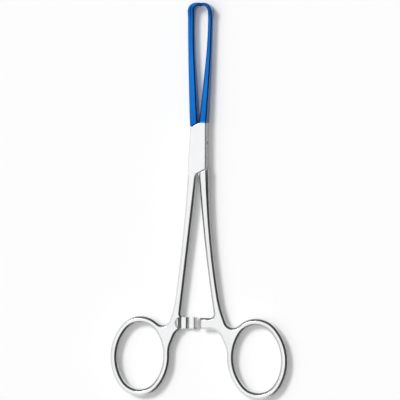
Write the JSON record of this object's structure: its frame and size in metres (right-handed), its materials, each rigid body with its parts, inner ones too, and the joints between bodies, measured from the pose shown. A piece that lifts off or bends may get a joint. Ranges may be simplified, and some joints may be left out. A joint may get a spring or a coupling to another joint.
{
  "type": "allis tissue forceps",
  "caption": "Ring-handled tissue forceps with a box lock, ratchet bars on the shanks and curved jaws that end in interlocking teeth.",
  "frame": {"origin": "on the pivot's axis, in the plane of the box's back face, which the part rests on", "axes": "+Y towards the jaw tips, +Z out of the front face, +X to the right as seen from the front"},
  "size_m": [0.0716, 0.155, 0.0056],
  "materials": {
    "half_steel": "satin, the jaws forward of the box in blue",
    "pin_steel": "ground flush"
  },
  "bodies": {
    "box": {"box_half": "half_steel", "pivot_pin": "pin_steel"},
    "tongue": {"tongue_half": "half_steel"}
  },
  "joints": [
    {"name": "box_lock", "type": "hinge", "parent": "box", "child": "tongue", "pos_m": [0, 0, 0.0028], "axis": [0, 0, 1], "range_deg": [-1.85, 50]}
  ]
}
